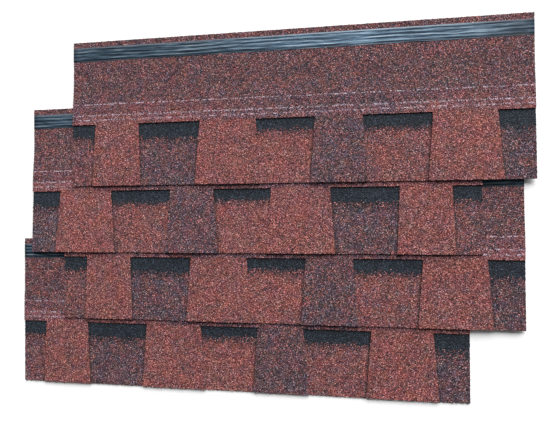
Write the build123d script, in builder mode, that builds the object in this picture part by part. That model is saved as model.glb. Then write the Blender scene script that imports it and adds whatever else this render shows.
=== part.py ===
from build123d import *
import os
from math import acos, atan, cos, degrees, sin

os.makedirs("parts", exist_ok=True)

# Four laminated asphalt shingles, lapped and staggered like courses on a roof, laid on the floor.
# X runs along the shingles, Y runs up the slope from the lowest butt edge, and Z is up.
# The origin is under the middle of the stack. All sizes are in millimetres.

# One shingle
sheet_length = 1000.0
sheet_height = 333.0
tooth_ply = 2.7
backing_ply = 2.5
backing_height = 170.0
cut_height = 140.5
cut_corner_radius = 1.5

# Teeth, from the left end: centre, width at the butt edge, width at the root
teeth = [
    (110.0, 116.5, 104.0),
    (369.0, 147.5, 126.5),
    (611.0, 120.0, 99.5),
    (866.0, 147.0, 125.0),
]

# Release film, near the top edge of the granule face
film_start = 288.0
film_width = 32.0
film_thickness = 0.15

# Sealant bars, in a row on the back, just above the butt edge
bar_start = 4.0
bar_width = 12.0
bar_length = 60.0
bar_gap = 20.0
bar_thickness = 0.6
bar_count = 12

# The stack: how far each course steps up and sideways, from the lowest course to the top one
exposure = 151.0
course_offsets = [0.0, 105.7, 25.4, 127.6]
mirrored_courses = [False, False, True, False]
bend_radius = 500.0
seat_gap = 0.05
cut_margin = 5.0

# Sizes that follow from those above
laminate = tooth_ply + backing_ply
bar_end = bar_start + bar_width
film_end = film_start + film_width
stack_length = sheet_length + max(course_offsets)
stack_height = sheet_height + exposure * (len(course_offsets) - 1)


def course_slope(front, rests):
    """Slope of a backing whose bars sit at one height and whose rear end clears every rest."""
    return min((front - height) / (run - bar_end) for run, height in rests)


def lay_courses():
    """Slope and butt height of the back of each course, each one lying on the one below."""
    courses = []
    front = bar_thickness
    rests = [(backing_height, 0.0)]
    for _ in course_offsets:
        slope = course_slope(front, rests)
        courses.append((slope, front + slope * bar_end))
        under_next_bars = front - slope * exposure
        front = under_next_bars + laminate + bar_thickness + seat_gap
        rests = [
            (film_end - exposure, tooth_ply + film_thickness + seat_gap),
            (backing_height, tooth_ply + seat_gap),
        ]
    return courses


for number, (slope, butt_height) in enumerate(lay_courses(), start=1):
    left = course_offsets[number - 1] - stack_length / 2
    butt = exposure * (number - 1) - stack_height / 2
    tilt = atan(slope)
    back = Plane(origin=(left, butt, butt_height), x_dir=(1, 0, 0), z_dir=(0, sin(tilt), cos(tilt)))
    name = f"course_{number}"

    # Backing strip: the plain lower ply, flush with the butt edge
    with BuildPart() as backing_strip:
        with BuildSketch(back):
            Rectangle(sheet_length, backing_height, align=Align.MIN)
        extrude(amount=backing_ply)

    # Tooth sheet: stiff over the backing, then the single ply sags to the floor and lies flat
    lamination = back.offset(backing_ply)
    start = lamination.from_local_coords(Vector(0, 0, 0))
    end = lamination.from_local_coords(Vector(0, backing_height, 0))
    steepest = acos((1 + cos(tilt) - end.Z / bend_radius) / 2)

    with BuildPart() as tooth_sheet:
        with BuildSketch(Plane.YZ.offset(left)):
            with BuildLine():
                stiff_run = Line((start.Y, start.Z), (end.Y, end.Z))
                sag = JernArc(stiff_run @ 1, stiff_run % 1, bend_radius, degrees(tilt - steepest))
                settle = JernArc(sag @ 1, sag % 1, bend_radius, degrees(steepest))
                Line(settle @ 1, (butt + sheet_height, 0))
                offset(amount=tooth_ply, side=Side.LEFT)
            make_face()
        extrude(amount=sheet_length)

        # Cut-outs: a band along the butt edge, less the tapered teeth that stay
        with BuildSketch(lamination):
            with Locations((-cut_margin, -cut_margin)):
                Rectangle(sheet_length + 2 * cut_margin, cut_height + cut_margin, align=Align.MIN)
            for centre, butt_width, root_width in teeth:
                if mirrored_courses[number - 1]:
                    centre = sheet_length - centre
                with BuildLine():
                    Polyline(
                        (centre - root_width / 2, cut_height),
                        (centre - butt_width / 2, 0),
                        (centre - butt_width / 2, -cut_margin),
                        (centre + butt_width / 2, -cut_margin),
                        (centre + butt_width / 2, 0),
                        (centre + root_width / 2, cut_height),
                        close=True,
                    )
                make_face(mode=Mode.SUBTRACT)
            fillet(vertices().group_by(Axis.Y)[-1], radius=cut_corner_radius)
        extrude(amount=cut_margin, both=True, mode=Mode.SUBTRACT)

    # Release film: a thin strip on the flat part of the granule face
    with BuildPart() as release_film:
        with BuildSketch(Plane((left, butt + film_start, tooth_ply))):
            Rectangle(sheet_length, film_width, align=Align.MIN)
        extrude(amount=film_thickness)

    # Sealant bars: an even row of flat bars on the back of the backing
    with BuildPart() as sealant_bars:
        with BuildSketch(back):
            with Locations((sheet_length / 2, bar_start + bar_width / 2)):
                with GridLocations(bar_length + bar_gap, bar_width, bar_count, 1):
                    Rectangle(bar_length, bar_width)
        extrude(amount=-bar_thickness)

    pieces = {
        "tooth_sheet": tooth_sheet,
        "backing_strip": backing_strip,
        "release_film": release_film,
        "sealant_bars": sealant_bars,
    }
    for piece, builder in pieces.items():
        builder.part.label = f"{name}_{piece}"
        export_step(builder.part, f"parts/{name}_{piece}.step")
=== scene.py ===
import math

import bpy
import numpy as np
from bpy.props import FloatProperty, FloatVectorProperty, PointerProperty
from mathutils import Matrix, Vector


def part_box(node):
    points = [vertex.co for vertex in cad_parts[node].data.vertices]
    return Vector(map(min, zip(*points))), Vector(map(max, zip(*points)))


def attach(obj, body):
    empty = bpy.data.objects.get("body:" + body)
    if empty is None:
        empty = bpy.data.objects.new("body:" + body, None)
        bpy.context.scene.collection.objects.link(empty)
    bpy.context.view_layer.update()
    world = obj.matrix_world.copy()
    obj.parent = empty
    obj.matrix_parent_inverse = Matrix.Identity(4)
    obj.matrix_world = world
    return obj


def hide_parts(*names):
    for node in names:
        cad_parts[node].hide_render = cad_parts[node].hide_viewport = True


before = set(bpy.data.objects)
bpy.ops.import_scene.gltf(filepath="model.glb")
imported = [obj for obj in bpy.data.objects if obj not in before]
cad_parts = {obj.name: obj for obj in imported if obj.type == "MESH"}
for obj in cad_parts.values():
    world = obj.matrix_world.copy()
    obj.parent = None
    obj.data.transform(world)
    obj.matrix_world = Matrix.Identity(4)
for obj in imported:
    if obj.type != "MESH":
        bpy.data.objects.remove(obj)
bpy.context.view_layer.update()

bl_info = {
    "name": "Laminated Shingle Stack",
    "version": (1, 0, 0),
    "blender": (4, 5, 0),
    "location": "View3D > Sidebar > Shingles",
    "description": "Dresses a stack of lapped laminated asphalt shingles and its studio",
    "category": "Object",
}

MM = 0.001
BODY = "root"

# What a mesh holds for its materials: a map of places on the flat shingle, how high each point is
# through its ply, and how dark the painted shade beside a tooth is there
SHEET_MAP = "sheet"
DEPTH = "depth"
TOOTH_SHADE = "tooth_shade"

# The finishes of a ply, in the order of its material slots
GRANULE_FACE, CUT_EDGE, SANDED_BACK = range(3)


def srgb(red, green, blue):
    """A colour given as it looks on screen, 0 to 255, as linear light."""
    channels = (value / 255 for value in (red, green, blue))
    return tuple(c / 12.92 if c <= 0.04045 else ((c + 0.055) / 1.055) ** 2.4 for c in channels)


# The courses, as the frame holds them

# Course 3, the third from the floor, is cut as a mirror image of the others.
MIRRORED = {3}
COURSE_NUMBERS = (1, 2, 3, 4)

# One shingle, in its own flat coordinates: X from the left end, Y up from the butt edge
LENGTH = 1000 * MM
HEIGHT = 333 * MM
TOOTH_PLY = 2.7 * MM
BACKING_PLY = 2.5 * MM
BACKING_HEIGHT = 170 * MM
CUT_HEIGHT = 140.5 * MM
BEND_RADIUS = 500 * MM
FILM_START = 288 * MM
FILM_WIDTH = 32 * MM
FILM_SHELL = 0.3 * MM
BAR_START = 4 * MM
BAR_WIDTH = 12 * MM
BAR_LENGTH = 60 * MM
BAR_PITCH = 80 * MM
BAR_THICKNESS = 0.6 * MM
BAR_WEAR = 0.25 * MM
BAR_COUNT = 12

# Cells of the grids that the film and a bar start from, along and across
FILM_GRID = (18, 11)
BAR_GRID = (20, 4)

# Hidden faces start this far inside the edge of what hides them, and are joined in strips.
COVER_MARGIN = 5 * MM
BEND_STRIP = 8 * MM

# A face whose middle is this many steps of the grid off a line may still be cut by it.
NEAR_LINE = 1.5
CUT_TOLERANCE = 0.01 * MM

# A face of up to this many cells of the grid is still a single cell.
ONE_CELL = 1.5

# The normal of a level face stands at least this far up or down.
LEVEL = 0.5

# Teeth: centre, width at the butt edge, width at the root
TEETH = [
    (110 * MM, 116.5 * MM, 104 * MM),
    (369 * MM, 147.5 * MM, 126.5 * MM),
    (611 * MM, 120 * MM, 99.5 * MM),
    (866 * MM, 147 * MM, 125 * MM),
]

# Painted shade on the lower ply beside the teeth, where the teeth would shade it: how dark it is on
# the left and on the right of each tooth, how far out it is full, and where it ends
TOOTH_SHADES = [(0.46, 0.28), (0.42, 0.0), (0.48, 0.0), (0.46, 0.38)]
TOOTH_SHADE_CORE = 3 * MM
TOOTH_SHADE_REACH = 5 * MM

# The studio: a floor just under the lowest points, a wide lamp that shines at the middle of the
# stack, and the camera
FLOOR_SIZE = 12
FLOOR_DROP = 0.25 * MM
FLOOR_COLOUR = (0.93, 0.93, 0.93, 1)
FLOOR_ROUGHNESS = 0.9
WHITE = (1, 1, 1, 1)
KEY_PLACE = (0.56, 1.7, 1.12)
KEY_SPREAD = math.radians(58)
CAMERA_PLACE = (0.2275, -0.0105, 1.0857)
CAMERA_TURN = (math.radians(0.322), math.radians(9.723), math.radians(-0.326))
SENSOR_WIDTH = 36


class Course:
    """Where one shingle lies: its left end, its butt edge, and how its upper ply drapes."""

    def __init__(self, number):
        self.number = number
        self.name = f"course_{number}"
        self.mirrored = number in MIRRORED
        low, high = (Vector(corner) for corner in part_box(f"{self.name}_backing_strip"))
        self.left, self.butt = low.x, low.y
        self.slope = (high.z - BACKING_PLY - low.z) / (high.y - low.y)
        tilt = math.atan(self.slope)

        # The stiff run ends at the top of the backing, then come two arcs and the flat floor.
        self.stiff_end = high.y
        self.stiff_height = low.z + BACKING_PLY
        steepest = math.acos((1 + math.cos(tilt) - self.stiff_height / BEND_RADIUS) / 2)
        self.sag_centre = self.stiff_end - BEND_RADIUS * math.sin(tilt)
        self.sag_base = self.stiff_height - BEND_RADIUS * math.cos(tilt)
        self.sag_end = self.sag_centre + BEND_RADIUS * math.sin(steepest)
        self.landing = self.sag_end + BEND_RADIUS * math.sin(steepest)

    def underside(self, y):
        """Heights of the underside of the upper ply at places up the slope."""
        stiff = self.stiff_height + (self.stiff_end - y) * self.slope
        past_crest = np.clip(y - self.sag_centre, 0, BEND_RADIUS)
        sag = self.sag_base + np.sqrt(BEND_RADIUS**2 - past_crest**2)
        to_landing = np.clip(self.landing - y, 0, BEND_RADIUS)
        settle = BEND_RADIUS - np.sqrt(BEND_RADIUS**2 - to_landing**2)
        runs = [y <= self.stiff_end, y <= self.sag_end, y <= self.landing]
        return np.select(runs, [stiff, sag, settle], 0.0)

    def back(self, y):
        """Heights of the back of the lower ply."""
        return self.underside(y) - BACKING_PLY

    def strips(self, y):
        """Which strip across the slope each place is in: each is flat, or bends very little."""
        bend = (np.clip(y, self.stiff_end, self.landing) - self.stiff_end) / BEND_STRIP
        return np.ceil(bend).astype(int)

    def covers(self, centres):
        """Which places lie under this shingle, well inside its edges."""
        inside_x = np.abs(centres[:, 0] - self.left - LENGTH / 2) < LENGTH / 2 - COVER_MARGIN
        return inside_x & (centres[:, 1] > self.butt + COVER_MARGIN)


COURSES = [Course(number) for number in COURSE_NUMBERS]


def covered(course, centres):
    """Which places on a course the next course hides."""
    if course.number == len(COURSES):
        return np.zeros(len(centres), bool)
    return COURSES[course.number].covers(centres)


# Settings that a user would change


class ShingleSizes(bpy.types.PropertyGroup):
    """Sizes of the relief and of the granules."""

    step: FloatProperty(
        name="Relief Step",
        description="Distance between the points of the rough granule face",
        default=1.75 * MM, min=1.0 * MM, unit="LENGTH",
    )
    relief: FloatProperty(
        name="Relief Height",
        description="How far the points of the granule face stand in or out",
        default=0.35 * MM, min=0.0, unit="LENGTH",
    )
    edge_wear: FloatProperty(
        name="Edge Wear",
        description="How far the points along a cut edge stray",
        default=0.25 * MM, min=0.0, unit="LENGTH",
    )
    granule: FloatProperty(
        name="Granule Size",
        description="Width of one mineral granule",
        default=1.35 * MM, min=0.5 * MM, unit="LENGTH",
    )
    wrinkle: FloatProperty(
        name="Film Wrinkle",
        description="How far the release film stands in or out along its wrinkles",
        default=0.22 * MM, min=0.0, unit="LENGTH",
    )


class ShingleColours(bpy.types.PropertyGroup):
    """Colours of the granules, the asphalt, the film and the paint."""

    brick: FloatVectorProperty(
        name="Brick", description="Commonest granule of a bright tooth",
        default=srgb(136, 76, 73), size=3, subtype="COLOR",
    )
    slate: FloatVectorProperty(
        name="Slate", description="Commonest granule of a dark tooth",
        default=srgb(54, 47, 56), size=3, subtype="COLOR",
    )
    shadow: FloatVectorProperty(
        name="Shadow", description="Granules of the dark band under each cut",
        default=srgb(42, 49, 58), size=3, subtype="COLOR",
    )
    asphalt: FloatVectorProperty(
        name="Asphalt", description="Bare asphalt of the cut edges and the sealant",
        default=srgb(30, 28, 29), size=3, subtype="COLOR",
    )
    paint: FloatVectorProperty(
        name="Line Paint", description="Paint of the dashed nail lines",
        default=srgb(200, 184, 198), size=3, subtype="COLOR",
    )


class ShingleStudio(bpy.types.PropertyGroup):
    """The floor, the lamps and the camera."""

    lens: FloatProperty(
        name="Lens", description="Focal length of the camera, in millimetres",
        default=32.97, min=5.0, subtype="DISTANCE_CAMERA",
    )
    key_strength: FloatProperty(
        name="Key Strength", description="Strength of the soft light from above the top edge",
        default=6.56, min=0.0,
    )
    sky_strength: FloatProperty(
        name="Sky Strength", description="Strength of the even light from all round",
        default=0.12, min=0.0,
    )


# Working in edit mode


def activate(piece):
    """Makes one piece the only selected object and the active one."""
    bpy.ops.object.select_all(action="DESELECT")
    piece.select_set(True)
    bpy.context.view_layer.objects.active = piece


def read_all(items, key, width=1, kind=np.float32):
    """What a mesh holds under one key for each of its faces or points."""
    values = np.empty(len(items) * width, kind)
    items.foreach_get(key, values)
    return values.reshape(-1, width) if width > 1 else values


def points_of(piece):
    return read_all(piece.data.vertices, "co", 3)


def face_centres(piece):
    return read_all(piece.data.polygons, "center", 3)


def face_kinds(piece):
    """Which finish each face has."""
    return read_all(piece.data.polygons, "material_index", kind=np.int32)


def single_cells(piece, step):
    """Which faces are single cells of the grid, rather than joined ones."""
    return read_all(piece.data.polygons, "area") < ONE_CELL * step**2


def write_to_points(piece, name, values):
    """Keeps one number for each point, under a name that a material reads."""
    attribute = piece.data.attributes.new(name, "FLOAT", "POINT")
    attribute.data.foreach_set("value", values.astype(np.float32))


def edit_faces(piece, chosen):
    """Opens a piece in edit mode with only the chosen faces selected."""
    activate(piece)
    mesh = piece.data
    bpy.context.tool_settings.mesh_select_mode = (False, False, True)
    mesh.vertices.foreach_set("select", np.zeros(len(mesh.vertices), bool))
    mesh.edges.foreach_set("select", np.zeros(len(mesh.edges), bool))
    mesh.polygons.foreach_set("select", np.asarray(chosen, bool))
    bpy.ops.object.mode_set(mode="EDIT")


def edit_all(piece):
    """Opens a piece in edit mode with everything selected."""
    activate(piece)
    bpy.ops.object.mode_set(mode="EDIT")
    bpy.ops.mesh.select_all(action="SELECT")


def close_edit():
    bpy.ops.object.mode_set(mode="OBJECT")


def smooth_faces(piece):
    edit_all(piece)
    bpy.ops.mesh.faces_shade_smooth()
    close_edit()


def cut_line(piece, near, point, direction):
    """Cuts the faces near a straight line along that line."""
    edit_faces(piece, near)
    across = Vector((direction[1], -direction[0], 0)).normalized()
    bpy.ops.mesh.bisect(plane_co=(*point, 0), plane_no=across, threshold=CUT_TOLERANCE)
    close_edit()


def delete_faces(piece, chosen):
    edit_faces(piece, chosen)
    bpy.ops.mesh.delete(type="FACE")
    close_edit()


def join_faces(piece, chosen):
    """Makes one face of each group of chosen faces that touch."""
    edit_faces(piece, chosen)
    bpy.ops.mesh.dissolve_faces(use_verts=True)
    close_edit()


def roughen(piece, chosen, reach, seed, along_normal=0.75):
    """Moves the points of the chosen faces at random."""
    edit_faces(piece, chosen)
    bpy.ops.transform.vertex_random(
        offset=reach, uniform=1 - along_normal, normal=along_normal, seed=seed
    )
    close_edit()


def modify(piece, kind, **settings):
    """Adds a modifier and applies it."""
    activate(piece)
    bpy.ops.object.modifier_add(type=kind)
    modifier = piece.modifiers[-1]
    for key, value in settings.items():
        setattr(modifier, key, value)
    bpy.ops.object.modifier_apply(modifier=modifier.name)


# Materials

# Noise patterns: waves per metre, detail and roughness
CLUMPS = (60.0, 3.0, 0.6)
WARM_PATCHES = (32.0, 3.0, 0.65)
ROSE_PATCHES = (44.0, 2.0, 0.6)
BAND_RAGS = (45.0, 2.0, 0.6)
LINE_WANDER = (30.0, 3.0, 0.7)
LINE_WEAR = (70.0, 3.0, 0.75)
GRIT = (900.0, 3.0, 0.7)
FIBRES = (420.0, 2.0, 0.6)
SAND = (1100.0, 2.0, 0.7)
SAND_DRIFTS = (14.0, 4.0, 0.6)
FILM_SWAY = (7.0, 2.0, 0.6)
BUBBLES = (260.0, 3.0, 0.55)

# The same for the film's streaks and for its ribs, which stretch their places first
STREAK_GRAIN = (1.0, 4.0, 0.68)
RIB_GRAIN = (1.0, 2.0, 0.5)

# The usual range of a noise
NOISE_LOW = 0.3
NOISE_HIGH = 0.7

# Where a pattern starts to show and where it shows in full
GRIT_FADE = (0.35, 0.75)
FIBRE_FADE = (0.5, 0.65)
SAND_FADE = (0.52, 0.66)
SHEEN_FADE = (0.35, 0.7)

# Roughness of each finish: the range of its pattern, and the roughness at both ends
GRANULE_GLOSS = (0.80, 0.97, 0.85, 0.45)
EDGE_GLOSS = (0.3, 0.8, 0.50, 0.80)
BACK_GLOSS = (0.4, 0.7, 0.65, 0.92)
FILM_GLOSS = (0.3, 0.7, 0.6, 0.4)
SEALANT_GLOSS = (0.3, 0.7, 0.22, 0.45)

# Relief of each finish: how deep it is, and how strongly it shows
GRANULE_BUMP = (0.45 * MM, 0.8)
EDGE_BUMP = (0.4 * MM, 0.8)
BACK_BUMP = (0.25 * MM, 0.7)
FILM_BUMP = (0.9 * MM, 0.6)
SEALANT_BUMP = (0.5 * MM, 0.6)

# How strongly the granules and the film mirror the light
GRANULE_SHINE = 0.25
FILM_SHINE = 0.2


class Recipe:
    """One material, with short calls that add its nodes and join them."""

    def __init__(self, name):
        self.material = bpy.data.materials.new(name)
        self.material.use_nodes = True
        self.tree = self.material.node_tree
        self.shader = self.tree.nodes["Principled BSDF"]

    def join(self, socket, value):
        """Links a socket to another one, or sets it to a constant."""
        if isinstance(value, bpy.types.NodeSocket):
            self.tree.links.new(value, socket)
        else:
            socket.default_value = value

    def add(self, kind, output=0, inputs=None, **settings):
        """Adds a node and gives one of its outputs."""
        node = self.tree.nodes.new(kind)
        for key, value in settings.items():
            setattr(node, key, value)
        for key, value in (inputs or {}).items():
            self.join(node.inputs[key], value)
        return node.outputs[output]

    def math(self, operation, first, second=0.0):
        return self.add("ShaderNodeMath", inputs={0: first, 1: second}, operation=operation)

    def span(self, value, low, high, to_low=0.0, to_high=1.0):
        """Maps a range smoothly and clamps it."""
        return self.add(
            "ShaderNodeMapRange",
            inputs={"Value": value, 1: low, 2: high, 3: to_low, 4: to_high},
            interpolation_type="SMOOTHSTEP",
        )

    def swing(self, noise, low, high):
        """Spreads the usual range of a noise over another one."""
        return self.span(noise, NOISE_LOW, NOISE_HIGH, low, high)

    def mix(self, factor, first, second, blend="MIX"):
        return self.add(
            "ShaderNodeMix", output=2, inputs={0: factor, 6: first, 7: second},
            data_type="RGBA", blend_type=blend,
        )

    def tint(self, colour, tint):
        """Multiplies a colour by another one."""
        return self.mix(1.0, colour, tint, "MULTIPLY")

    def ramp(self, factor, stops, interpolation="CONSTANT"):
        """A colour ramp from a list of place and colour, or place and grey value."""
        node = self.tree.nodes.new("ShaderNodeValToRGB")
        node.color_ramp.interpolation = interpolation
        elements = node.color_ramp.elements
        while len(elements) < len(stops):
            elements.new(1.0)
        for element, (place, colour) in zip(elements, stops):
            element.position = place
            grey = isinstance(colour, float)
            element.color = (colour, colour, colour, 1) if grey else (*colour, 1)
        self.join(node.inputs["Fac"], factor)
        return node.outputs["Color"]

    def split(self, vector):
        """The three parts of a place."""
        node = self.tree.nodes.new("ShaderNodeSeparateXYZ")
        self.join(node.inputs[0], vector)
        return node.outputs[:3]

    def place(self):
        """Place in the stack, in metres."""
        return self.add("ShaderNodeTexCoord", output="Object")

    def sheet_place(self):
        """Distance from the left end and from the butt edge, in metres."""
        return self.split(self.add("ShaderNodeUVMap", uv_map=SHEET_MAP))[:2]

    def vector(self, x=0.0, y=0.0, z=0.0):
        return self.add("ShaderNodeCombineXYZ", inputs={"X": x, "Y": y, "Z": z})

    def noise(self, vector, scale, detail, roughness):
        return self.add(
            "ShaderNodeTexNoise",
            inputs={"Vector": vector, "Scale": scale, "Detail": detail, "Roughness": roughness},
        )

    def bump(self, height, distance, strength):
        inputs = {"Height": height, "Distance": distance, "Strength": strength}
        return self.add("ShaderNodeBump", inputs=inputs)

    def finish(self, colour, roughness, normal):
        self.join(self.shader.inputs["Base Color"], colour)
        self.join(self.shader.inputs["Roughness"], roughness)
        self.join(self.shader.inputs["Normal"], normal)
        return self.material


# Granules of a bright and of a dark tooth. Each has the place where its part of the ramp
# starts, so the distance to the next one is its share. None stands for a user's colour.
BRIGHT_BLEND = [
    (0.00, srgb(51, 27, 28)),
    (0.14, srgb(94, 52, 52)),
    (0.36, None),
    (0.64, srgb(170, 104, 101)),
    (0.84, srgb(112, 76, 79)),
    (0.92, srgb(222, 158, 154)),
]
DARK_BLEND = [
    (0.00, srgb(27, 24, 29)),
    (0.22, None),
    (0.46, srgb(80, 64, 73)),
    (0.68, srgb(101, 77, 85)),
    (0.84, srgb(120, 101, 113)),
    (0.95, srgb(180, 158, 169)),
]

# How far clumps of granules raise or lower the share of dark ones
CLUMP_SWING = 0.20

# Drifts of the whole blend, over patches wider than a granule. The rosy ones are taken from
# another place, so that they don't follow the warm ones.
WARM_DRIFT = [(0.33, (0.90, 1.03, 1.07)), (0.67, (1.10, 0.97, 0.93))]
ROSE_DRIFT = [(0.35, (1.0, 1.04, 0.95)), (0.65, (1.0, 0.97, 1.05))]
ROSE_SHIFT = (3.0, 1.0, 7.0)

# How tones vary from granule to granule: in general, where painted, and in the dark band
GRANULE_TONES = [(0.0, 0.82), (1.0, 1.18)]
PAINT_TONES = [(0.0, 0.5), (1.0, 1.2)]
BAND_TONES = [(0.0, 0.12), (0.7, 0.95), (0.93, 1.9), (1.0, 4.2)]

# The colour darkens away from a granule's middle, for dark asphalt between granules and painted shade
# across each granule: the range of distances, and the tones there
GRANULE_GAP_SHADE = (0.42, 0.72, 1.0, 0.50)

# Share of dark granules from the left end on: teeth, cut-outs, the rows above the cut-outs,
# the nail zone, and the headlap above it
TOOTH_ZONES = [(0.000, 0.12), (0.240, 0.12), (0.495, 0.73), (0.730, 0.10)]
CUT_OUT_ZONES = [(0.000, 0.52), (0.110, 0.76), (0.369, 0.10), (0.611, 0.29), (0.866, 0.80)]
ROOT_ZONES = [(0.000, 0.22), (0.080, 0.03), (0.260, 0.20), (0.400, 0.46), (0.740, 0.50), (0.800, 0.05)]
NAIL_ZONES = [
    (0.000, 0.48), (0.050, 0.38), (0.300, 0.26), (0.400, 0.50), (0.550, 0.62),
    (0.680, 0.74), (0.780, 0.60), (0.820, 0.30), (0.950, 0.40),
]
HEADLAP_SHARE = 0.61

# Where the nail zone and the headlap fade in, above the butt edge
NAIL_ZONE_FADE = (157 * MM, 163 * MM)
HEADLAP_FADE = (188 * MM, 191 * MM)

# Tint of the upper ply from the root line up, in metres above the butt edge: a rosy stretch above the
# teeth, a dusky one under the highest nail line, and painted shade on the draped headlap above
ROSE = (0.92, 1.05, 1.18)
DUSK = (0.80, 0.87, 0.98)
RISE_TONES = [
    (0.140, 1.0), (0.144, ROSE), (0.158, ROSE), (0.167, 1.0), (0.178, DUSK), (0.183, DUSK),
    # Painted shade: a lower tone from 195 mm up offsets the extra light that the draped slope catches
    (0.195, 0.90), (0.230, 0.90), (0.260, 0.99),
]

# The dark band of each cut-out: where its middle is above the butt edge, in metres, how far
# either way it fades, and how far its border strays
BAND_MIDDLES = [(0.000, 0.103), (0.110, 0.099), (0.369, 0.109), (0.611, 0.1045), (0.866, 0.097)]
BAND_FADE = 15 * MM
BAND_SWAY = 2 * MM

# Nail lines: height above the butt edge, width, and how much of the line is left bare
NAIL_LINES = [(187 * MM, 2.2 * MM, 0.52), (161.5 * MM, 2.6 * MM, 0.52), (151 * MM, 2.6 * MM, 0.53)]

# How far a nail line wanders, how gradually its dashes end, and how full of paint they are
LINE_SWAY = 0.9 * MM
LINE_FADE = 0.14
LINE_COVER = 0.9


class Granules:
    """The pattern of granules: random numbers for each, and where it is on the flat shingle."""

    def __init__(self, recipe, size):
        place = recipe.place()
        node = recipe.tree.nodes.new("ShaderNodeTexVoronoi")
        node.inputs["Scale"].default_value = 1 / size
        recipe.join(node.inputs["Vector"], place)
        self.distance = node.outputs["Distance"]
        self.pick, self.tone, self.kind = recipe.split(node.outputs["Color"])

        # All of a granule takes the height of its middle, so that no border cuts a granule.
        middle = recipe.split(node.outputs["Position"])
        here = recipe.split(place)
        self.x, y = recipe.sheet_place()
        self.y = recipe.math("ADD", y, recipe.math("SUBTRACT", middle[1], here[1]))


def user_blend(blend, colour):
    """A blend with the user's colour in its place."""
    return [(place, stop or tuple(colour)) for place, stop in blend]


def granule_colour(recipe, granules, dark_share, colours):
    """Bright and dark granules, mixed in the share that each place asks for."""
    place = recipe.place()
    bright = recipe.ramp(granules.pick, user_blend(BRIGHT_BLEND, colours.brick))
    dark = recipe.ramp(granules.pick, user_blend(DARK_BLEND, colours.slate))
    clumps = recipe.swing(recipe.noise(place, *CLUMPS), -CLUMP_SWING, CLUMP_SWING)
    share = recipe.math("ADD", dark_share, clumps)
    colour = recipe.mix(recipe.math("LESS_THAN", granules.kind, share), bright, dark)
    colour = recipe.tint(colour, recipe.ramp(granules.tone, GRANULE_TONES, "LINEAR"))
    warm = recipe.ramp(recipe.noise(place, *WARM_PATCHES), WARM_DRIFT, "EASE")
    shifted = recipe.add("ShaderNodeVectorMath", inputs={0: place, 1: ROSE_SHIFT})
    rosy = recipe.ramp(recipe.noise(shifted, *ROSE_PATCHES), ROSE_DRIFT, "EASE")
    return recipe.tint(recipe.tint(colour, warm), rosy)


def finish_granules(recipe, granules, colour):
    """Joins the granules' colour, gloss and relief to the shader."""
    # Dark asphalt between granules, and painted shade towards each granule's border
    colour = recipe.tint(colour, recipe.span(granules.distance, *GRANULE_GAP_SHADE))
    roughness = recipe.span(granules.tone, *GRANULE_GLOSS)
    height = recipe.math("SUBTRACT", 1.0, granules.distance)
    recipe.shader.inputs["Specular IOR Level"].default_value = GRANULE_SHINE
    return recipe.finish(colour, roughness, recipe.bump(height, *GRANULE_BUMP))


def nail_line_mask(recipe, granules):
    """Broken chains of painted granules along the nail lines."""
    mask = 0.0
    for height, width, bare in NAIL_LINES:
        # The height in millimetres gives each line a stretch of noise of its own.
        along = recipe.vector(granules.x, height / MM)
        wander = recipe.swing(recipe.noise(along, *LINE_WANDER), -LINE_SWAY, LINE_SWAY)
        off_line = recipe.math("SUBTRACT", recipe.math("SUBTRACT", granules.y, wander), height)
        on_line = recipe.math("LESS_THAN", recipe.math("ABSOLUTE", off_line), width / 2)
        wear = recipe.noise(along, *LINE_WEAR)
        dashes = recipe.span(wear, bare - LINE_FADE, bare + LINE_FADE, 0.0, LINE_COVER)
        chosen = recipe.math("LESS_THAN", granules.kind, dashes)
        mask = recipe.math("MAXIMUM", mask, recipe.math("MULTIPLY", chosen, on_line))
    return mask


def tooth_face_material(sizes, colours):
    """Granule face of the upper ply: teeth, headlap and painted nail lines."""
    recipe = Recipe("tooth_granules")
    granules = Granules(recipe, sizes.granule)
    share = recipe.ramp(granules.x, TOOTH_ZONES)
    above_cuts = recipe.math("GREATER_THAN", granules.y, CUT_HEIGHT)
    share = recipe.mix(above_cuts, share, recipe.ramp(granules.x, ROOT_ZONES, "EASE"))
    in_nail_zone = recipe.span(granules.y, *NAIL_ZONE_FADE)
    share = recipe.mix(in_nail_zone, share, recipe.ramp(granules.x, NAIL_ZONES, "EASE"))
    in_headlap = recipe.span(granules.y, *HEADLAP_FADE)
    share = recipe.mix(in_headlap, share, (HEADLAP_SHARE, HEADLAP_SHARE, HEADLAP_SHARE, 1))
    colour = granule_colour(recipe, granules, share, colours)
    colour = recipe.tint(colour, recipe.ramp(granules.y, RISE_TONES, "LINEAR"))
    paint = recipe.tint((*colours.paint, 1), recipe.ramp(granules.tone, PAINT_TONES, "LINEAR"))
    colour = recipe.mix(nail_line_mask(recipe, granules), colour, paint)
    return finish_granules(recipe, granules, colour)


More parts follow.
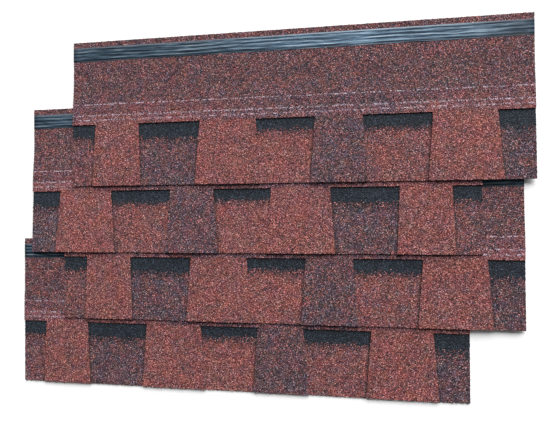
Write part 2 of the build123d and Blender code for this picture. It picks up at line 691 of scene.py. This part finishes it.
def backing_face_material(sizes, colours):
    """Granule face of the lower ply, with the dark band under each cut and painted shade beside the
    teeth.
    """
    recipe = Recipe("backing_granules")
    granules = Granules(recipe, sizes.granule)
    share = recipe.ramp(granules.x, CUT_OUT_ZONES)
    colour = granule_colour(recipe, granules, share, colours)
    above = recipe.math("SUBTRACT", granules.y, recipe.ramp(granules.x, BAND_MIDDLES))
    uneven = recipe.swing(recipe.noise(recipe.place(), *BAND_RAGS), -BAND_SWAY, BAND_SWAY)
    fade = recipe.span(recipe.math("ADD", above, uneven), -BAND_FADE, BAND_FADE)
    in_band = recipe.math("LESS_THAN", granules.kind, fade)
    band = recipe.tint((*colours.shadow, 1), recipe.ramp(granules.pick, BAND_TONES, "LINEAR"))
    colour = recipe.mix(in_band, colour, band)
    # Painted shade beside the teeth: the granules darken towards the asphalt colour where the teeth
    # would shade the lower ply
    tooth_shade = recipe.add("ShaderNodeAttribute", output="Fac", attribute_name=TOOTH_SHADE)
    colour = recipe.mix(tooth_shade, colour, (*colours.asphalt, 1))
    return finish_granules(recipe, granules, colour)


# The cut edge, by height through the ply from 0 to 1: the middle of the glass mat, how far
# from it the mat fades, where the rim of granules fades in, and how far the rim strays
MAT_HEIGHT = 0.48
MAT_FADE = (0.04, 0.10)
RIM_FADE = (0.76, 0.84)
RIM_SWAY = 0.14
MAT_COLOUR = srgb(126, 112, 92)
GRIT_COLOUR = srgb(66, 58, 56)

# Bare asphalt of the back, the sand on it, and the least and the most of it that stays on
BACK_COLOUR = srgb(44, 41, 40)
SAND_COLOUR = srgb(128, 120, 108)
SAND_COVER = (0.45, 1.0)

# The sealant where it is palest
SEALANT_SHEEN = srgb(48, 45, 46)


def cut_edge_material(sizes, colours):
    """Cut asphalt, with the granules' rim at the top and the pale line of the glass mat."""
    recipe = Recipe("cut_asphalt")
    place = recipe.place()
    depth = recipe.add("ShaderNodeAttribute", output="Fac", attribute_name=DEPTH)
    grit = recipe.noise(place, *GRIT)
    colour = recipe.mix(recipe.span(grit, *GRIT_FADE), (*colours.asphalt, 1), (*GRIT_COLOUR, 1))
    off_mat = recipe.math("ABSOLUTE", recipe.math("SUBTRACT", depth, MAT_HEIGHT))
    fibres = recipe.span(recipe.noise(place, *FIBRES), *FIBRE_FADE)
    mat = recipe.math("MULTIPLY", recipe.span(off_mat, *MAT_FADE, 1.0, 0.0), fibres)
    colour = recipe.mix(mat, colour, (*MAT_COLOUR, 1))
    granules = Granules(recipe, sizes.granule)
    rim = recipe.math("ADD", depth, recipe.span(granules.kind, 0.0, 1.0, -RIM_SWAY, RIM_SWAY))
    granule = recipe.ramp(granules.pick, user_blend(BRIGHT_BLEND, colours.brick))
    colour = recipe.mix(recipe.span(rim, *RIM_FADE), colour, granule)
    roughness = recipe.span(grit, *EDGE_GLOSS)
    return recipe.finish(colour, roughness, recipe.bump(grit, *EDGE_BUMP))


def sanded_back_material():
    """Back of a ply: asphalt dusted with pale sand."""
    recipe = Recipe("sanded_back")
    sand = recipe.noise(recipe.place(), *SAND)
    drifts = recipe.swing(recipe.noise(recipe.place(), *SAND_DRIFTS), *SAND_COVER)
    share = recipe.math("MULTIPLY", recipe.span(sand, *SAND_FADE), drifts)
    colour = recipe.mix(share, (*BACK_COLOUR, 1), (*SAND_COLOUR, 1))
    roughness = recipe.span(sand, *BACK_GLOSS)
    return recipe.finish(colour, roughness, recipe.bump(sand, *BACK_BUMP))


# The film's long streaks, partly its own grain and partly painted reflection of its ridges: places per
# metre along it and across it, and the weight. Places per metre up the stack give each course streaks
# of its own.
FILM_STREAKS = [(5.0, 220.0, 0.75), (16.0, 520.0, 1.25)]
FILM_VARIETY = 11.0

# How far the streaks sway, and what is taken off their sum so that it lies in the tones' middle
STREAK_SWAY = 2 * MM
FILM_MIDDLE = 0.50

# The film's ribs, painted as pale and dark bands of reflection that its mesh doesn't have: the height
# of one above the butt edge, the distance to the next, and how much they count. They drift along the
# film: places per metre, and how far, as an angle.
FILM_RIB = 295.5 * MM
FILM_RIB_PITCH = 8.0 * MM
FILM_RIB_REFLECTION = 0.10
RIB_DRIFT = 4.0
RIB_SWING = 1.2

# Colours of the film, by the number that its streaks give: dark where it is low. The pale and dark
# ends hold painted reflection.
FILM_TONES = [
    (0.20, srgb(0, 8, 18)),
    (0.40, srgb(31, 53, 72)),
    (0.52, srgb(75, 100, 120)),
    (0.64, srgb(126, 150, 170)),
    (0.82, srgb(178, 197, 212)),
]

# Painted sheen: brightness of the film from the left end on, a broad highlight painted into its colour
FILM_PAINTED_SHEEN = [
    (0.00, 0.43), (0.19, 0.48), (0.31, 0.50), (0.44, 0.86),
    (0.56, 1.02), (0.69, 1.14), (0.81, 0.98), (1.00, 0.42),
]

# How far the borders along the film's two long edges stray
FILM_RAGS = 1 * MM

# Brightness near the film's lower edge, by how far in it is: a pale lip of painted highlight, then a
# dark line
FILM_EDGE_REACH = 6 * MM
FILM_EDGE_TONES = [(0.00, 1.35), (0.15, 1.20), (0.36, 0.33), (0.58, 0.36), (0.95, 1.00)]

# The pale rib along the film's upper edge, a painted highlight: where it starts and where it is full
TOP_RIB = (FILM_START + FILM_WIDTH - 4.5 * MM, FILM_START + FILM_WIDTH - 1.5 * MM)
TOP_RIB_HIGHLIGHT = srgb(129, 146, 161)


def film_streaks_and_reflections(recipe, y):
    """Long streaks and soft ribs along the film, pale where the number is high: partly the film's own
    grain, partly painted reflection.
    """
    here_x, here_y = recipe.split(recipe.place())[:2]
    sway = recipe.noise(recipe.vector(here_x, here_y), *FILM_SWAY)
    level = recipe.math("ADD", y, recipe.swing(sway, -STREAK_SWAY, STREAK_SWAY))
    streaks = 0.0
    for along, across, weight in FILM_STREAKS:
        stretched = recipe.vector(
            recipe.math("MULTIPLY", here_x, along),
            recipe.math("MULTIPLY", level, across),
            recipe.math("MULTIPLY", here_y, FILM_VARIETY),
        )
        streak = recipe.noise(stretched, *STREAK_GRAIN)
        streaks = recipe.math("ADD", recipe.math("MULTIPLY", streak, weight), streaks)
    off_rib = recipe.math("SUBTRACT", y, FILM_RIB)
    turn = recipe.math("MULTIPLY", off_rib, 2 * math.pi / FILM_RIB_PITCH)
    drift_place = recipe.vector(recipe.math("MULTIPLY", here_x, RIB_DRIFT), here_y)
    drift = recipe.swing(recipe.noise(drift_place, *RIB_GRAIN), -RIB_SWING, RIB_SWING)
    wave = recipe.math("COSINE", recipe.math("ADD", turn, drift))
    rib_reflections = recipe.math("MULTIPLY", wave, FILM_RIB_REFLECTION)
    return recipe.math("ADD", recipe.math("SUBTRACT", streaks, FILM_MIDDLE), rib_reflections)


def film_material():
    """Slate-blue release film with pale ribs and long pale and dark streaks, partly painted
    reflection.
    """
    recipe = Recipe("streaked_film")
    x, y = recipe.sheet_place()
    streaks = film_streaks_and_reflections(recipe, y)
    colour = recipe.ramp(streaks, FILM_TONES, "LINEAR")
    ragged = recipe.math("ADD", y, recipe.swing(streaks, -FILM_RAGS, FILM_RAGS))
    colour = recipe.mix(recipe.span(ragged, *TOP_RIB), colour, (*TOP_RIB_HIGHLIGHT, 1))
    inward = recipe.math("SUBTRACT", ragged, FILM_START)
    in_edge = recipe.math("DIVIDE", inward, FILM_EDGE_REACH)
    # Painted highlight along the film's lower lip, then a dark line
    colour = recipe.tint(colour, recipe.ramp(in_edge, FILM_EDGE_TONES, "LINEAR"))
    # Painted sheen along the film
    colour = recipe.tint(colour, recipe.ramp(x, FILM_PAINTED_SHEEN, "EASE"))
    recipe.shader.inputs["Specular IOR Level"].default_value = FILM_SHINE
    roughness = recipe.span(streaks, *FILM_GLOSS)
    return recipe.finish(colour, roughness, recipe.bump(streaks, *FILM_BUMP))


def sealant_material(colours):
    """Black sealant with a soft shine and small bubbles."""
    recipe = Recipe("sealant_bead")
    bubbles = recipe.noise(recipe.place(), *BUBBLES)
    pale = recipe.span(bubbles, *SHEEN_FADE)
    colour = recipe.mix(pale, (*colours.asphalt, 1), (*SEALANT_SHEEN, 1))
    roughness = recipe.span(bubbles, *SEALANT_GLOSS)
    return recipe.finish(colour, roughness, recipe.bump(bubbles, *SEALANT_BUMP))


# Sheets


def add_grid(name, width, height, columns, rows, corner=(0.0, 0.0)):
    """A flat grid from its lower left corner."""
    bpy.ops.object.select_all(action="DESELECT")
    bpy.ops.mesh.primitive_grid_add(x_subdivisions=columns, y_subdivisions=rows, size=1)
    piece = bpy.context.active_object
    piece.name = name
    piece.data.name = name
    edit_all(piece)
    bpy.ops.transform.resize(value=(width, height, 1))
    bpy.ops.transform.translate(value=(corner[0] + width / 2, corner[1] + height / 2, 0))
    close_edit()
    return piece


def add_flat_sheet(name, height, step):
    """A flat grid of one shingle's length."""
    return add_grid(name, LENGTH, height, round(LENGTH / step), round(height / step))


def tooth_edges():
    """Both sides of every tooth: its place at the butt edge and at the root."""
    for centre, butt_width, root_width in TEETH:
        for side in (-1, 1):
            yield centre + side * butt_width / 2, centre + side * root_width / 2


def across_teeth(points):
    """For each tooth, how far right of its middle the points lie, and half its width there."""
    rise = np.clip(points[:, 1] / CUT_HEIGHT, 0, 1)
    for centre, butt_width, root_width in TEETH:
        yield points[:, 0] - centre, (butt_width + (root_width - butt_width) * rise) / 2


def inside_gaps(points, margin=0.0):
    """Which points lie in a cut-out, or within a margin of one."""
    in_tooth = np.zeros(len(points), bool)
    for offset, half in across_teeth(points):
        in_tooth |= np.abs(offset) < half - margin
    return ~in_tooth & (points[:, 1] < CUT_HEIGHT + margin)


def cut_teeth(sheet, step):
    """Cuts the sheet along every tooth and along the root line, and takes out the cut-outs."""
    for at_butt, at_root in tooth_edges():
        centres = face_centres(sheet)
        edge = at_butt + (at_root - at_butt) * centres[:, 1] / CUT_HEIGHT
        near = (np.abs(centres[:, 0] - edge) < NEAR_LINE * step) & (centres[:, 1] < CUT_HEIGHT + step)
        cut_line(sheet, near, (at_butt, 0), (at_root - at_butt, CUT_HEIGHT))
    centres = face_centres(sheet)
    near = np.abs(centres[:, 1] - CUT_HEIGHT) < step
    cut_line(sheet, near, (0, CUT_HEIGHT), (1, 0))
    delete_faces(sheet, inside_gaps(face_centres(sheet)))


def write_sheet_map(sheet):
    """Writes each corner's place on the flat shingle to a UV map, in metres."""
    mesh = sheet.data
    while mesh.uv_layers:
        mesh.uv_layers.remove(mesh.uv_layers[0])
    layer = mesh.uv_layers.new(name=SHEET_MAP)
    corners = np.empty(len(mesh.loops), np.int32)
    mesh.loops.foreach_get("vertex_index", corners)
    layer.data.foreach_set("uv", points_of(sheet)[corners, :2].ravel())


def write_tooth_shades(sheet):
    """Writes to each point of the lower ply how dark the painted shade beside a tooth is there."""
    points = points_of(sheet)
    # How dark the painted shade beside the teeth is at each point
    bare = np.zeros(len(points))
    for (offset, half), side_shades in zip(across_teeth(points), TOOTH_SHADES):
        for side, tooth_shade in zip((-1, 1), side_shades):
            outward = side * offset - half
            near = np.clip((TOOTH_SHADE_REACH - outward) / (TOOTH_SHADE_REACH - TOOTH_SHADE_CORE), 0, 1)
            bare = np.maximum(bare, np.where(outward > -TOOTH_SHADE_REACH, near * tooth_shade, 0))
    write_to_points(sheet, TOOTH_SHADE, bare)


def copy_to_course(master, course, name):
    """A copy of a flat piece with its own mesh, mirrored where the course is, at its place."""
    activate(master)
    bpy.ops.object.duplicate(linked=False)
    piece = bpy.context.active_object
    piece.name = name
    piece.data.name = name
    edit_all(piece)
    if course.mirrored:
        bpy.ops.transform.resize(value=(-1, 1, 1), center_override=(LENGTH / 2, 0, 0))
        bpy.ops.mesh.flip_normals()
    bpy.ops.transform.translate(value=(course.left, course.butt, 0))
    close_edit()
    return piece


def lift(piece, height_at):
    """Raises every point by the height that belongs to its place up the slope."""
    points = points_of(piece)
    points[:, 2] += height_at(points[:, 1])
    piece.data.vertices.foreach_set("co", points.ravel())
    piece.data.update()


def dress_sheet(piece, height_at, thickness, finishes):
    """Sorts a sheet's faces into granule face, cut edge and back, and notes its points' depth."""
    mesh = piece.data
    for finish in finishes:
        mesh.materials.append(finish)
    upward = read_all(mesh.polygons, "normal", 3)[:, 2]
    kinds = np.select([upward > LEVEL, upward < -LEVEL], [GRANULE_FACE, SANDED_BACK], CUT_EDGE)
    mesh.polygons.foreach_set("material_index", kinds.astype(np.int32))
    points = points_of(piece)
    depth = np.clip((points[:, 2] - height_at(points[:, 1])) / thickness, 0, 1)
    write_to_points(piece, DEPTH, depth)
    mesh.update()


def join_unseen(piece, course):
    """Joins the faces of the back, and those under the next course, strip by strip."""
    # Every other strip is joined at a time, so that no two strips become one face.
    for odd in (0, 1):
        centres = face_centres(piece)
        kinds = face_kinds(piece)
        unseen = (kinds == SANDED_BACK) | ((kinds == GRANULE_FACE) & covered(course, centres))
        join_faces(piece, unseen & (course.strips(centres[:, 1]) % 2 == odd))


def finish_sheet(piece, course, thickness, height_at, sizes, finishes):
    """Drapes a flat sheet, thickens it, gives it its finishes and roughens its face and edges."""
    lift(piece, height_at)
    modify(piece, "SOLIDIFY", thickness=thickness, offset=1)
    dress_sheet(piece, height_at, thickness, finishes)
    join_unseen(piece, course)
    seen = (face_kinds(piece) == GRANULE_FACE) & single_cells(piece, sizes.step)
    roughen(piece, seen, sizes.relief, seed=course.number)
    edge = face_kinds(piece) == CUT_EDGE
    roughen(piece, edge, sizes.edge_wear, seed=course.number, along_normal=0.3)


def own(piece, node):
    """Rides a piece on the body, and lets it stand for its solid."""
    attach(piece, BODY)
    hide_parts(node)


def add_film(course, wrinkle):
    """A thin film, wrinkled at random, at its place on a course."""
    name = f"{course.name}_release_film_finish"
    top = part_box(f"{course.name}_release_film")[1].z
    piece = add_grid(name, LENGTH, FILM_WIDTH, *FILM_GRID, corner=(0.0, FILM_START))
    write_sheet_map(piece)
    edit_all(piece)
    bpy.ops.transform.vertex_random(offset=wrinkle, uniform=0.2, normal=0.8, seed=course.number)
    bpy.ops.transform.translate(value=(course.left, course.butt, top))
    close_edit()
    modify(piece, "SUBSURF", levels=2, render_levels=2, boundary_smooth="PRESERVE_CORNERS")
    modify(piece, "SOLIDIFY", thickness=FILM_SHELL, offset=1)
    return piece


def add_bar_row():
    """A flat row of sealant bars with rounded ends."""
    first = (LENGTH - BAR_PITCH * (BAR_COUNT - 1) - BAR_LENGTH) / 2
    row = add_grid("sealant_bar_master", BAR_LENGTH, BAR_WIDTH, *BAR_GRID, corner=(first, BAR_START))
    centres = face_centres(row)
    end = BAR_WIDTH / 2
    past = np.abs(centres[:, 0] - first - BAR_LENGTH / 2) - (BAR_LENGTH / 2 - end)
    off_axis = centres[:, 1] - BAR_START - end
    delete_faces(row, (past > 0) & (np.hypot(past, off_axis) > end))
    modify(row, "SOLIDIFY", thickness=BAR_THICKNESS, offset=-1)
    modify(
        row, "ARRAY", count=BAR_COUNT, use_relative_offset=False, use_constant_offset=True,
        constant_offset_displace=(BAR_PITCH, 0, 0),
    )
    return row


# The studio


def add_floor():
    """A large pale floor just under the stack."""
    bpy.ops.object.select_all(action="DESELECT")
    bpy.ops.mesh.primitive_plane_add(size=FLOOR_SIZE, location=(0, 0, -FLOOR_DROP))
    floor = bpy.context.active_object
    floor.name = "studio_floor"
    recipe = Recipe("studio_floor")
    recipe.shader.inputs["Base Color"].default_value = FLOOR_COLOUR
    recipe.shader.inputs["Roughness"].default_value = FLOOR_ROUGHNESS
    floor.data.materials.append(recipe.material)


def add_sky(scene, strength):
    """Even light from all round, with plain white for the camera behind it."""
    world = bpy.data.worlds.new("studio_sky")
    world.use_nodes = True
    nodes, links = world.node_tree.nodes, world.node_tree.links
    sky = nodes["Background"]
    sky.inputs["Color"].default_value = WHITE
    sky.inputs["Strength"].default_value = strength
    backdrop = nodes.new("ShaderNodeBackground")
    backdrop.inputs["Color"].default_value = WHITE
    seen_or_lit = nodes.new("ShaderNodeMixShader")
    links.new(nodes.new("ShaderNodeLightPath").outputs["Is Camera Ray"], seen_or_lit.inputs["Fac"])
    links.new(sky.outputs["Background"], seen_or_lit.inputs[1])
    links.new(backdrop.outputs["Background"], seen_or_lit.inputs[2])
    links.new(seen_or_lit.outputs["Shader"], nodes["World Output"].inputs["Surface"])
    scene.world = world


def add_key_light(strength):
    """A wide, soft sun that shines at the middle of the stack."""
    bpy.ops.object.light_add(type="SUN", location=KEY_PLACE)
    key = bpy.context.active_object
    key.name = "key_light"
    key.data.energy = strength
    key.data.angle = KEY_SPREAD
    key.rotation_euler = (-key.location).to_track_quat("-Z", "Y").to_euler()


def add_camera(scene, lens):
    """The camera, at the place that the photograph was taken from."""
    bpy.ops.object.camera_add(location=CAMERA_PLACE)
    camera = bpy.context.active_object
    camera.name = "camera"
    camera.rotation_mode = "ZXY"
    camera.rotation_euler = CAMERA_TURN
    camera.data.lens = lens
    camera.data.sensor_width = SENSOR_WIDTH
    scene.camera = camera


# The operators


class SHINGLES_OT_tooth_sheets(bpy.types.Operator):
    """Makes the upper ply of every shingle, with its teeth, rough granule face and cut edges"""

    bl_idname = "shingles.tooth_sheets"
    bl_label = "Add Tooth Sheets"

    def execute(self, context):
        sizes, colours = context.scene.shingle_sizes, context.scene.shingle_colours
        finishes = [
            tooth_face_material(sizes, colours),
            cut_edge_material(sizes, colours),
            sanded_back_material(),
        ]
        master = add_flat_sheet("tooth_sheet_master", HEIGHT, sizes.step)
        cut_teeth(master, sizes.step)
        write_sheet_map(master)
        for course in COURSES:
            piece = copy_to_course(master, course, f"{course.name}_tooth_sheet_finish")
            finish_sheet(piece, course, TOOTH_PLY, course.underside, sizes, finishes)
            own(piece, f"{course.name}_tooth_sheet")
        bpy.data.objects.remove(master)
        return {"FINISHED"}


class SHINGLES_OT_backing_strips(bpy.types.Operator):
    """Makes the lower ply of every shingle, rough where the cut-outs show it"""

    bl_idname = "shingles.backing_strips"
    bl_label = "Add Backing Strips"

    def execute(self, context):
        sizes, colours = context.scene.shingle_sizes, context.scene.shingle_colours
        finishes = [
            backing_face_material(sizes, colours),
            cut_edge_material(sizes, colours),
            sanded_back_material(),
        ]
        master = add_flat_sheet("backing_strip_master", BACKING_HEIGHT, sizes.step)
        write_sheet_map(master)
        under_teeth = ~inside_gaps(face_centres(master), margin=2 * sizes.step)
        join_faces(master, under_teeth)
        write_tooth_shades(master)
        for course in COURSES:
            piece = copy_to_course(master, course, f"{course.name}_backing_strip_finish")
            finish_sheet(piece, course, BACKING_PLY, course.back, sizes, finishes)
            own(piece, f"{course.name}_backing_strip")
        bpy.data.objects.remove(master)
        return {"FINISHED"}


class SHINGLES_OT_release_films(bpy.types.Operator):
    """Makes the streaked and wrinkled release film near the top edge of every shingle"""

    bl_idname = "shingles.release_films"
    bl_label = "Add Release Films"

    def execute(self, context):
        film = film_material()
        for course in COURSES:
            piece = add_film(course, context.scene.shingle_sizes.wrinkle)
            piece.data.materials.append(film)
            smooth_faces(piece)
            own(piece, f"{course.name}_release_film")
        return {"FINISHED"}


class SHINGLES_OT_sealant_bars(bpy.types.Operator):
    """Makes the row of soft black sealant bars on the back of every shingle"""

    bl_idname = "shingles.sealant_bars"
    bl_label = "Add Sealant Bars"

    def execute(self, context):
        sealant = sealant_material(context.scene.shingle_colours)
        master = add_bar_row()
        for course in COURSES:
            piece = copy_to_course(master, course, f"{course.name}_sealant_bars_finish")
            lift(piece, course.back)
            all_over = np.ones(len(piece.data.polygons), bool)
            roughen(piece, all_over, BAR_WEAR, seed=course.number, along_normal=0.2)
            modify(piece, "SUBSURF", levels=1, render_levels=1)
            piece.data.materials.append(sealant)
            smooth_faces(piece)
            own(piece, f"{course.name}_sealant_bars")
        bpy.data.objects.remove(master)
        return {"FINISHED"}


class SHINGLES_OT_studio(bpy.types.Operator):
    """Makes the pale floor, the soft light and the camera"""

    bl_idname = "shingles.studio"
    bl_label = "Add Studio"

    def execute(self, context):
        scene, studio = context.scene, context.scene.shingle_studio
        add_floor()
        add_sky(scene, studio.sky_strength)
        add_key_light(studio.key_strength)
        add_camera(scene, studio.lens)
        scene.view_settings.view_transform = "Standard"
        return {"FINISHED"}


class SHINGLES_PT_panel(bpy.types.Panel):
    """Lists the pieces and their settings"""

    bl_label = "Laminated Shingle Stack"
    bl_idname = "SHINGLES_PT_panel"
    bl_space_type = "VIEW_3D"
    bl_region_type = "UI"
    bl_category = "Shingles"

    def draw(self, context):
        layout = self.layout
        for settings in (
            context.scene.shingle_sizes,
            context.scene.shingle_colours,
            context.scene.shingle_studio,
        ):
            box = layout.box()
            for name in settings.__annotations__:
                box.prop(settings, name)
        for operator in OPERATORS:
            layout.operator(operator.bl_idname)


OPERATORS = (
    SHINGLES_OT_studio,
    SHINGLES_OT_tooth_sheets,
    SHINGLES_OT_backing_strips,
    SHINGLES_OT_release_films,
    SHINGLES_OT_sealant_bars,
)
CLASSES = (ShingleSizes, ShingleColours, ShingleStudio, *OPERATORS, SHINGLES_PT_panel)


def register():
    for item in CLASSES:
        bpy.utils.register_class(item)
    bpy.types.Scene.shingle_sizes = PointerProperty(type=ShingleSizes)
    bpy.types.Scene.shingle_colours = PointerProperty(type=ShingleColours)
    bpy.types.Scene.shingle_studio = PointerProperty(type=ShingleStudio)


def unregister():
    del bpy.types.Scene.shingle_studio
    del bpy.types.Scene.shingle_colours
    del bpy.types.Scene.shingle_sizes
    for item in reversed(CLASSES):
        bpy.utils.unregister_class(item)


def main():
    register()
    bpy.ops.shingles.studio()
    bpy.ops.shingles.tooth_sheets()
    bpy.ops.shingles.backing_strips()
    bpy.ops.shingles.release_films()
    bpy.ops.shingles.sealant_bars()


if __name__ == "__main__":
    main()
